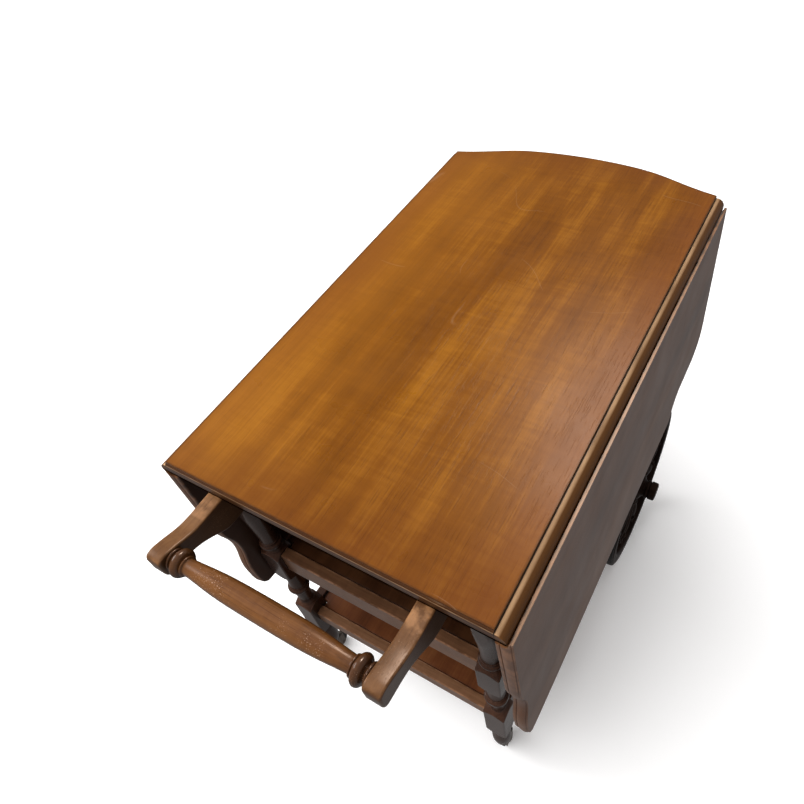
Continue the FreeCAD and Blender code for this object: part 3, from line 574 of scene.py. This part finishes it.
# ---------------------------------------------------------------- the top
CORNER = corners("leaf_right")[1].y - 2.0     # y of the far corners
SWELL = 2.6                                   # how far the edge moulding stands out at the far end
BOW = PEAK - SWELL - CORNER                   # how far the far end swells past its corners
ROLL = 14.0                                   # radius of the rounded side edges in the rule joints
# Section of the end mouldings, as (distance out, drop below the top).
EDGE_MOULD = [(-0.8, 0.0), (-0.2, 0.25), (0.0, 0.8), (0.0, 2.4), (0.9, 2.6), (1.7, 3.6), (2.3, 6.0),
              (2.6, 8.5), (2.6, 12.5), (2.5, 15.5), (1.8, 15.9), (1.8, 16.5), (2.3, 16.9),
              (2.1, 19.6), (1.6, 21.2), (0.4, 22.0)]


def far_edge(x):
    """Y of the serpentine far end at x."""
    u = min(1.0, abs(x) / HINGE_X)
    rows = ((0.0, 1.0), (0.095, 0.993), (0.19, 0.970), (0.285, 0.933), (0.38, 0.880), (0.475, 0.800),
            (0.56, 0.696), (0.635, 0.573), (0.72, 0.418), (0.80, 0.280), (0.90, 0.122), (1.0, 0.0))
    i = max(k for k in range(len(rows) - 1) if u >= rows[k][0] or k == 0)
    knots = [rows[max(0, i - 1)], rows[i], rows[i + 1], rows[min(len(rows) - 1, i + 2)]]
    if i == 0:
        knots[0] = (-rows[1][0], rows[1][1])
    (x0, y0), (x1, y1), (x2, y2), (x3, y3) = knots
    t = (u - x1) / (x2 - x1)
    m1 = (y2 - y0) / (x2 - x0)
    m2 = (y3 - y1) / (x3 - x1) if x3 > x2 else m1
    h = x2 - x1
    share = ((2 * t ** 3 - 3 * t ** 2 + 1) * y1 + (t ** 3 - 2 * t ** 2 + t) * h * m1
             + (-2 * t ** 3 + 3 * t ** 2) * y2 + (t ** 3 - t ** 2) * h * m2)
    return CORNER + BOW * share


def side_section():
    """(x, z) across the upper side of the top from left to right, rolls included."""
    flat_steps, roll_steps = 24, 14
    half = [(HINGE_X * step / flat_steps, HEIGHT) for step in range(flat_steps)]
    half += [(HINGE_X - 3.0, HEIGHT), (HINGE_X - 0.7, HEIGHT), (HINGE_X - 0.2, HEIGHT - 0.2),
             (HINGE_X, HEIGHT - 0.8), (HINGE_X, HINGE_Z + ROLL)]
    end = math.asin((HINGE_Z - UNDER) / ROLL)
    for step in range(1, roll_steps + 1):
        a = math.pi / 2 - (math.pi / 2 + end) * step / roll_steps
        half.append((HINGE_X + ROLL * math.cos(a), HINGE_Z + ROLL * math.sin(a)))
    return [(-x, z) for x, z in reversed(half[1:])] + half


def make_top():
    """The top as a grid: side sections across, end mouldings at both ends, a flat underside."""
    bm = bmesh.new()
    rim = bm.verts.layers.float.new("rim")
    section = side_section()
    flat_margin = 3.0
    ends = len(EDGE_MOULD)
    upper, lower = [], []
    for x, z_side in section:
        far = far_edge(x)
        slope = (far_edge(abs(x) + 0.5) - far_edge(abs(x) - 0.5)) if abs(x) < HINGE_X - 1 else 0.0
        stretch = math.hypot(1, slope)
        column = [(NEAR - offset, min(z_side, HEIGHT - drop)) for offset, drop in reversed(EDGE_MOULD)]
        column.append((NEAR + flat_margin, z_side))
        column += [(NEAR + (far - NEAR) * share, z_side) for share in (0.25, 0.5, 0.75)]
        column.append((far - flat_margin * stretch, z_side))
        column += [(far + offset * stretch, min(z_side, HEIGHT - drop)) for offset, drop in EDGE_MOULD]
        upper.append([bm.verts.new((x, y, z)) for y, z in column])
        for number, vert in enumerate(upper[-1]):
            inner = ends <= number < len(column) - ends and abs(x) < HINGE_X - 1
            vert[rim] = 0.0 if inner else 1.0
        lower.append([bm.verts.new((x, y, UNDER)) for y, _ in column])
    count = len(upper[0])
    for grid, flip in ((upper, False), (lower, True)):
        for i in range(len(section) - 1):
            for j in range(count - 1):
                quad = (grid[i][j], grid[i + 1][j], grid[i + 1][j + 1], grid[i][j + 1])
                face = bm.faces.new(tuple(reversed(quad)) if flip else quad)
                face.smooth = not flip and min(vert.co.z for vert in quad) < HEIGHT - 0.01
    for i in (0, len(section) - 1):
        for j in range(count - 1):
            bm.faces.new((upper[i][j], upper[i][j + 1], lower[i][j + 1], lower[i][j])).smooth = False
    for j in (0, count - 1):
        for i in range(len(section) - 1):
            bm.faces.new((upper[i][j], upper[i + 1][j], lower[i + 1][j], lower[i][j])).smooth = False
    piece("top_plank", bm, "top", "frame", "top_board")


# ---------------------------------------------------------------- the leaves
JOINT_GAP = 1.6
COVE = ROLL + JOINT_GAP                       # radius of the hollow that wraps the top's roll
LEAF_TOP = HINGE_Z - JOINT_GAP
LEAF_FACE = HINGE_X + HEIGHT - HINGE_Z        # x of the outer face when the leaf hangs plumb
LEAF_DROP = 350.0
# Depths from the outer face at which the leaf's edge is cut.
LEAF_LEVELS = (0.0, 0.15, 0.6, 2.4, 2.6, 3.3, 3.9, 4.5, 5.5, 7, 9, 11, 13, 14.8, 15.2, 16.0, 16.4,
               18, 20, 21.3, 22)
# Depth from the outer face beyond which the leaf's back gets painted shade.
BACK_LEVEL = 21
# How far the edge stands out of the outline at each depth.
LEAF_MOULD = ((0.0, -0.8), (0.15, -0.3), (0.6, 0.0), (2.4, 0.0), (2.6, 0.9), (3.3, 1.5), (5.5, 2.2),
              (9, 2.6), (13, 2.0), (14.8, 1.3), (15.2, 0.2), (16.0, 0.2), (16.4, 1.0), (18, 1.1),
              (20, 0.7), (21.3, 0.0), (22, -1.2))


def leaf_outline():
    """(y, z) counter-clockwise as seen from +X, from the far hinge corner round to the near one."""
    foot = HINGE_Z - LEAF_DROP
    far = CORNER + 2
    top = LEAF_TOP
    near_side = smooth([(NEAR, top - 150), (NEAR + 0.3, top - 160), (NEAR + 2.0, top - 174),
                        (NEAR + 6, top - 188), (NEAR + 9.6, top - 202), (NEAR + 11.6, top - 218),
                        (NEAR + 11.4, top - 232), (NEAR + 9.4, top - 247), (NEAR + 6.4, top - 262),
                        (NEAR + 4.4, top - 276), (NEAR + 3.6, top - 290), (NEAR + 4.2, top - 304),
                        (NEAR + 5.0, foot + 27), (NEAR + 7.4, foot + 15), (NEAR + 12.4, foot + 7.6),
                        (NEAR + 20, foot + 4.0), (NEAR + 50, foot + 1.6), (NEAR + 90, foot)], 3)
    far_side = smooth([(far - 176, foot), (far - 171, foot + 3), (far - 167, foot + 11),
                       (far - 162, foot + 21), (far - 154, foot + 31), (far - 143, foot + 39),
                       (far - 130, foot + 43.4), (far - 116, foot + 44.6), (far - 90, foot + 45),
                       (far - 60, foot + 45.6), (far - 42, foot + 48), (far - 26, foot + 54),
                       (far - 13, foot + 64), (far - 5, foot + 77), (far - 1, foot + 92),
                       (far, foot + 106)], 3)
    return [(far, top), (NEAR, top)] + near_side + far_side


def make_leaf(side, sign):
    """A leaf cut level by level from its outer face, modelled plumb and then leant out."""
    outline = leaf_outline()
    normals = outline_normals(outline)
    rings = []
    for level in LEAF_LEVELS:
        x = LEAF_FACE - level
        inside = COVE ** 2 - (x - HINGE_X) ** 2
        cove_drop = LEAF_TOP - (HINGE_Z - math.sqrt(inside)) if inside > 0 else 0.0
        drop = max(cove_drop, 0.5 if level == 0 else 0.0)
        offset = table(LEAF_MOULD, level)
        (y_far, z_top), (y_near, _) = outline[:2]
        ring = [(sign * x, y_far + offset, z_top - drop), (sign * x, y_near - offset, z_top - drop)]
        ring += [(sign * x, y + normal.x * offset, z + normal.y * offset)
                 for (y, z), normal in zip(outline[2:], normals[2:])]
        rings.append(ring)
    bm = bmesh.new()
    skin(bm, rings)
    close_caps(bm)
    # This layer marks the leaf's back, which gets painted shade.
    back = bm.verts.layers.float.new("back")
    for vert in bm.verts:
        vert[back] = 1.0 if abs(vert.co.x) < LEAF_FACE - BACK_LEVEL else 0.0
    axis = Vector((sign * HINGE_X, 0, HINGE_Z))
    turn = Matrix.Rotation(math.radians(-LEAN), 4, "Y")
    lean = Matrix.Translation(axis) @ turn @ Matrix.Translation(-axis)
    piece("leaf_board_" + side, bm, "leaf", "leaf_" + side, "leaf_" + side, place=lean)


# ---------------------------------------------------------------- legs
LEG_HALF = 19.0
LEG_CORNER = 2.2
# Degrees from each face's middle at which a leg's rings have points, closer at the corners.
LEG_ANGLES = (0, 7, 14, 21, 28, 34, 39, 41.6, 43.3, 45, 46.7, 48.4, 51, 56, 62, 69, 76, 83)


def square_radius(angle):
    """Radius at an angle of the leg's square stock with its rounded corners."""
    a = angle % (math.pi / 2)
    c, s = math.cos(a), math.sin(a)
    flat = LEG_HALF / max(c, s)
    inner = LEG_HALF - LEG_CORNER
    cross = inner * (s - c)
    if abs(cross) < LEG_CORNER:
        reach = inner * (c + s) + math.sqrt(LEG_CORNER ** 2 - cross ** 2)
        if reach * c > inner and reach * s > inner:
            return reach
    return flat


def leg_turning(near):
    """(radius, z) up a leg's turning; wider than the stock's corners wherever the square is left."""
    free = 30.0
    low0, low1 = 144.0, 256.0                          # the lower square block
    mid0, mid1 = HEIGHT - 357.0, HEIGHT - 276.0        # the middle square block
    cap = UNDER - 54.0                                 # where the top block starts
    mid = (low1 + mid0) / 2
    if near:
        foot = [[(0.01, 56.0), (12.0, 56.0)],
                [(13.4, 57.4), (15.6, 63), (17.3, 76), (17.0, 92), (14.8, 110), (13.2, 121)],
                [(13.2, 122.5), (14.4, 123)], bead(14.4, 123, 126.5, 1.4), [(13.4, 127), (13.2, 129.5)],
                bead(13.4, 130, 139.5, 4.4)]
    else:
        foot = [[(0.01, 126.0), (8.0, 126.0)],
                [(8.0, 126.0), (13.5, 127.5), (16.6, 131), (17.0, 135), (15.6, 138.5)],
                [(14.6, 139.0), (14.6, 140.0)]]
    return chain(
        *foot,
        [(15.4, low0 - 3.5), (19.0, low0 - 1.0), (23.5, low0 + 3.5), (28, low0 + 9)],
        [(free, low0 + 10), (free, low1 - 10)],
        [(28, low1 - 9), (23.5, low1 - 3.5), (19.0, low1 + 1.0), (15.4, low1 + 3.5)],
        [(15.4, low1 + 4.5), (13.0, low1 + 7.5), (12.4, low1 + 13), (13.4, low1 + 28), (14.8, mid - 10)],
        bead(14.8, mid - 9.5, mid - 6.5, 1.5),
        bead(15.0, mid - 6, mid + 6, 4.8),
        bead(14.8, mid + 6.5, mid + 9.5, 1.5),
        [(14.8, mid + 10), (13.4, mid + 28), (12.4, mid0 - 13), (13.0, mid0 - 7.5), (15.4, mid0 - 4.5)],
        [(15.4, mid0 - 3.5), (19.0, mid0 - 1.0), (23.5, mid0 + 3.5), (28, mid0 + 9)],
        [(free, mid0 + 10), (free, mid1 - 10)],
        [(28, mid1 - 9), (23.5, mid1 - 3.5), (19.0, mid1 + 1.0), (15.6, mid1 + 3.5)],
        [(15.6, mid1 + 4.5), (13.4, mid1 + 8.0), (12.8, mid1 + 12.5), (13.4, mid1 + 16)],
        bead(14.0, mid1 + 16.5, mid1 + 27.5, 5.0),
        [(14.0, mid1 + 28.5), (14.6, mid1 + 29)],
        bead(14.6, mid1 + 29, mid1 + 32, 1.2),
        [(14.4, mid1 + 33), (14.8, mid1 + 52), (17.2, cap - 112), (20.0, cap - 82), (21.5, cap - 60),
         (20.4, cap - 42), (17.0, cap - 30), (15.2, cap - 25)],
        [(15.0, cap - 24), (15.0, cap - 21.5)],
        bead(15.0, cap - 21, cap - 8, 5.0),
        [(15.0, cap - 7.5), (15.4, cap - 4.5)],
        [(15.6, cap - 3.5), (19.0, cap - 1.0), (23.5, cap + 3.5), (28, cap + 9)],
        [(free, cap + 10), (free, UNDER)])


def make_leg(name, near):
    low, high = corners(name)
    centre = Vector(((low.x + high.x) / 2, (low.y + high.y) / 2, 0))
    angles = [math.radians(90 * quarter + offset) for quarter in range(4) for offset in LEG_ANGLES]
    rings = []
    for radius, z in leg_turning(near):
        ring = []
        for angle in angles:
            r = min(radius, square_radius(angle))
            ring.append(centre + Vector((r * math.cos(angle), r * math.sin(angle), z)))
        rings.append(ring)
    bm = bmesh.new()
    skin(bm, rings)
    piece(name.replace("leg", "turned_leg"), bm, "upright", "frame", name, sharp=28.0)


# ---------------------------------------------------------------- rails and shelves
def make_rail(node, look):
    """A sawn rail with rounded, rubbed arrises."""
    bm = rounded_box(*corners(node), radius=1.6)
    piece(node.replace("_rail", "_tier") + "_board", bm, look, "frame", node)


def make_shelf(node, look):
    """A board with eased edges, notched round the legs, a fine gap short of the rails."""
    low, high = corners(node)
    gap, notch_x = 1.2, 10.0
    notch_y = notch_x + gap
    x, x_in = high.x - gap, high.x - gap - notch_x
    y0, y1 = low.y + gap, high.y - gap
    outline = [(x_in, y0), (x_in, y0 + notch_y), (x, y0 + notch_y), (x, y1 - notch_y),
               (x_in, y1 - notch_y), (x_in, y1), (-x_in, y1), (-x_in, y1 - notch_y), (-x, y1 - notch_y),
               (-x, y0 + notch_y), (-x_in, y0 + notch_y), (-x_in, y0)]
    normals = outline_normals(outline)
    rings = []
    for offset, z in ((-1.0, low.z), (0, low.z + 1), (0, high.z - 2.6), (-0.35, high.z - 1.3),
                      (-1.2, high.z - 0.4), (-2.4, high.z)):
        rings.append([(px + n.x * offset, py + n.y * offset, z) for (px, py), n in zip(outline, normals)])
    bm = bmesh.new()
    skin(bm, rings)
    piece(node.replace("_shelf", "_tier_shelf"), bm, look, "frame", node)


# ---------------------------------------------------------------- handle
def arm_outline():
    """(y, z) of a handle arm, counter-clockwise seen from +X."""
    low, high = corners("handle_arm_right")
    front, root = low.y, high.y
    upper = smooth([(NEAR - 36, UNDER), (NEAR - 46, UNDER + 0.4), (NEAR - 56, HEIGHT - 20.4),
                    (NEAR - 68, HEIGHT - 17.2), (NEAR - 80, HEIGHT - 13.2), (NEAR - 91, HEIGHT - 10.2),
                    (front + 12, HEIGHT - 9.0), (front + 6, HEIGHT - 9.6), (front + 2.0, HEIGHT - 12.0),
                    (front, HEIGHT - 17)], 3)
    lower = smooth([(front, HEIGHT - 36), (front + 1.6, HEIGHT - 41), (front + 6, HEIGHT - 44.4),
                    (front + 14, HEIGHT - 45.2), (NEAR - 84, HEIGHT - 45.8), (NEAR - 68, HEIGHT - 47.6),
                    (NEAR - 54, HEIGHT - 52.4), (NEAR - 40, HEIGHT - 60.0), (NEAR - 27, HEIGHT - 69.0),
                    (NEAR - 16, HEIGHT - 74.6), (NEAR - 6, HEIGHT - 76)], 3)
    return [(root, UNDER)] + upper + lower + [(root, HEIGHT - 76)]


def make_arm(side):
    """A sawn arm with its long edges rounded over."""
    low, high = corners("handle_arm_" + side)
    outline = arm_outline()
    normals = outline_normals(outline)
    soft = 3.0
    levels = [(-soft + soft * math.sin(a), soft - soft * math.cos(a))
              for a in (math.radians(d) for d in (0, 18, 36, 54, 72, 90))]
    rings = [(offset, low.x + depth) for offset, depth in levels]
    rings += [(offset, high.x - depth) for offset, depth in reversed(levels)]
    bm = bmesh.new()
    skin(bm, [[(x, y + n.x * offset, z + n.y * offset) for (y, z), n in zip(outline, normals)]
              for offset, x in rings])
    close_caps(bm)
    piece("handle_bracket_" + side, bm, "arm", "frame", "handle_arm_" + side)


def make_bar():
    """The turned push bar, with a ring and a bead at each end, held between the arms."""
    low, high = corners("handle_bar")
    inner = corners("handle_arm_right")[0].x
    half = chain(
        [(8.0, inner + 6), (13.2, inner - 0.2)],
        bead(12.4, inner - 0.4, inner - 4.4, 2.4),
        [(11.0, inner - 5.2), (10.4, inner - 6.4)],
        bead(11.2, inner - 7.0, inner - 20.0, 7.2, 11.6, steps=12),
        [(11.4, inner - 20.6), (12.6, inner - 21.0)],
        bead(12.2, inner - 21.0, inner - 23.6, 1.2),
        [(10.8, inner - 24.4), (10.9, inner - 28), (11.8, inner - 40), (13.4, inner - 58),
         (14.8, inner - 80), (15.5, inner - 104), (15.7, 0.0)])
    profile = half + [(radius, -x) for radius, x in reversed(half[:-1])]
    middle = Vector((0, (low.y + high.y) / 2, (low.z + high.z) / 2))
    place = Matrix.Translation(middle) @ Matrix.Rotation(math.radians(90), 4, "Y")
    piece("push_bar", lathe(profile, 64), "bar", "frame", "handle_bar", place=place)


# ---------------------------------------------------------------- wheels
FELLOE_INNER = 149.0
HUB_END = 24.0
SPOKES = 12
FELLOES = 6


def radius_of(node):
    """Outer radius of a wheel part, from its height."""
    low, high = corners(node)
    return (high.z - low.z) / 2


def ring_with_joints(profile, count):
    """A turned ring whose sections meet at fine radial grooves."""
    groove, half_width, parts = 0.5, 0.004, 16
    centre = Vector((sum(r for r, _ in profile), sum(z for _, z in profile))) / len(profile)
    step = 2 * math.pi / count
    turns = []
    for n in range(count):
        turns += [(n * step, groove), (n * step + half_width, 0.0)]
        turns += [(n * step + step * k / parts, 0.0) for k in range(1, parts)]
        turns += [((n + 1) * step - half_width, 0.0)]
    sections = []
    for angle, sunk in turns:
        section = []
        for radius, z in profile:
            pull = (centre - Vector((radius, z))).normalized() * sunk
            r = radius + pull.x
            section.append((r * math.cos(angle), r * math.sin(angle), z + pull.y))
        sections.append(section)
    bm = bmesh.new()
    skin(bm, sections, closed=True)
    return bm


def rim_profile(outer):
    """(radius, height) round the rim's section, with a fine groove in each face."""
    inner = FELLOE_INNER
    half = (smooth([(inner, -6.0), (inner + 0.8, -8.6), (inner + 3.2, -10.4), (inner + 6, -11)], 3)
            + [(inner + 8.0, -11), (inner + 8.4, -10.2), (inner + 9.2, -10.2), (inner + 9.6, -11)]
            + smooth([(outer - 3, -11), (outer - 1.2, -10.6), (outer - 0.3, -9.6), (outer, -8.4)], 3))
    return half + [(r, -z) for r, z in reversed(half)]


def tyre_profile(inner, outer):
    half = smooth([(inner - 0.5, -9), (outer - 3.2, -8.8), (outer - 1.2, -7.6), (outer - 0.3, -4.5),
                   (outer, 0)], 4)
    return half + [(r, -z) for r, z in reversed(half[:-1])]


def hub_profile():
    end = HUB_END
    return chain(
        [(11.2, -end), (16.5, -end)],
        bead(16.4, -end + 0.5, -end + 8, 3.6),
        [(16.6, -end + 8.6), (17.0, -14), (19.4, -11.4), (22.0, -10.4)],
        bead(23.0, -9.8, 9.8, 4.0, steps=12),
        [(22.0, 10.4), (19.4, 11.4), (17.0, 14), (16.6, end - 8.6)],
        bead(16.4, end - 8, end - 0.5, 3.6),
        [(16.5, end), (11.2, end)])


def cap_profile():
    """The wooden cap that covers the axle's end, hollow inside."""
    end = HUB_END
    return chain(
        [(12.7, end), (17.4, end)],
        [(18.6, end + 0.8), (19.2, end + 2.4), (19.2, end + 10.0), (18.6, end + 12.2),
         (17.0, end + 13.6), (14.8, end + 14.0)],
        [(13.6, end + 13.6), (12.4, end + 13.5)],
        [(0.01, end + 13.2), (0.01, end + 10.4)],
        [(12.0, end + 9.0), (12.7, end + 8.0)])


def spoke_profile():
    return chain(
        [(4.7, 25.0), (5.0, 31.0)], bead(5.0, 31.5, 34.0, 1.2), bead(5.0, 34.4, 40.6, 3.2),
        bead(5.0, 41.0, 43.4, 1.2),
        [(4.3, 44.4), (4.5, 52), (5.6, 68), (6.8, 86), (7.1, 98), (6.3, 109), (4.9, 117)],
        bead(4.9, 118, 120.2, 1.2), bead(5.0, 120.8, 127.2, 3.0), bead(4.9, 127.8, 130, 1.2),
        [(4.5, 131), (4.4, 138), (4.6, 144), (4.8, FELLOE_INNER + 1.0)])


def make_wheel(side, sign):
    """Rim, tyre, hub, hub cap and spokes, turned about Z and laid on the axle with the cap outwards."""
    axle = Vector(JOINTS["wheel_spin_" + side]["pos_m"]) / MM
    place = Matrix.Translation(axle) @ Matrix.Rotation(math.radians(90 * sign), 4, "Y")
    rim, tyre = radius_of("wheel_rim_right"), radius_of("wheel_tyre_right")
    spokes = bmesh.new()
    for number in range(SPOKES):
        turn = Matrix.Rotation(2 * math.pi * number / SPOKES, 4, "Z")
        lathe(spoke_profile(), 24, bm=spokes, place=turn @ Matrix.Rotation(math.radians(90), 4, "Y"))
    for name, bm, look, node in (
            ("felloe_ring_", ring_with_joints(rim_profile(rim), FELLOES), "wheel", "wheel_rim_"),
            ("rubber_tyre_", lathe(tyre_profile(rim, tyre), 144, True), "tyre", "wheel_tyre_"),
            ("turned_hub_", lathe(hub_profile(), 64, True), "wheel", "wheel_hub_"),
            ("hub_end_", lathe(cap_profile(), 64, True), "wheel", "hub_cap_"),
            ("turned_spokes_", spokes, "wheel", "wheel_spokes_")):
        piece(name + side, bm, look, "wheel_" + side, node + side, place=place)


# ---------------------------------------------------------------- casters
def make_caster_wheel(side):
    """A small rubber wheel with a raised tread and a boss round its pin."""
    half = chain([(3.1, -8.8), (7.2, -8.8)],
                 [(8.0, -8.4), (8.3, -7.4), (9.0, -6.2), (11.0, -5.4)],
                 [(14.6, -5.6), (15.6, -6.6)],
                 [(16.2, -6.6), (17.9, -6.0), (18.8, -4.2), (19.0, -2.0), (19.0, 0)])
    profile = half + [(r, -h) for r, h in reversed(half[:-1])]
    pin = Vector(JOINTS["caster_roll_" + side]["pos_m"]) / MM
    place = Matrix.Translation(pin) @ Matrix.Rotation(math.radians(90), 4, "Y")
    node = "caster_wheel_" + side
    piece("caster_tread_" + side, lathe(profile, 64, True), "caster", node, node, place=place)


# ---------------------------------------------------------------- build
make_camera()
make_studio()
make_top()
for side, sign in SIDES:
    make_leaf(side, sign)
    make_leg("leg_near_" + side, True)
    make_leg("leg_far_" + side, False)
    make_arm(side)
    make_wheel(side, sign)
    make_caster_wheel(side)
for tier in ("apron", "mid_rail", "low_rail"):
    for place, look in (("front", "across"), ("back", "across"), ("right", "along"), ("left", "along")):
        make_rail(f"{tier}_{place}", look)
make_shelf("mid_shelf", "shelf")
make_shelf("low_shelf", "low_shelf")
make_bar()

# The CAD solids still shown are all metal hardware.
for name, node in frame["nodes"].items():
    look = "dark_steel" if "caster" in name or name.startswith("axle") else "steel"
    node.data.materials.clear()
    node.data.materials.append(MATERIALS[look])
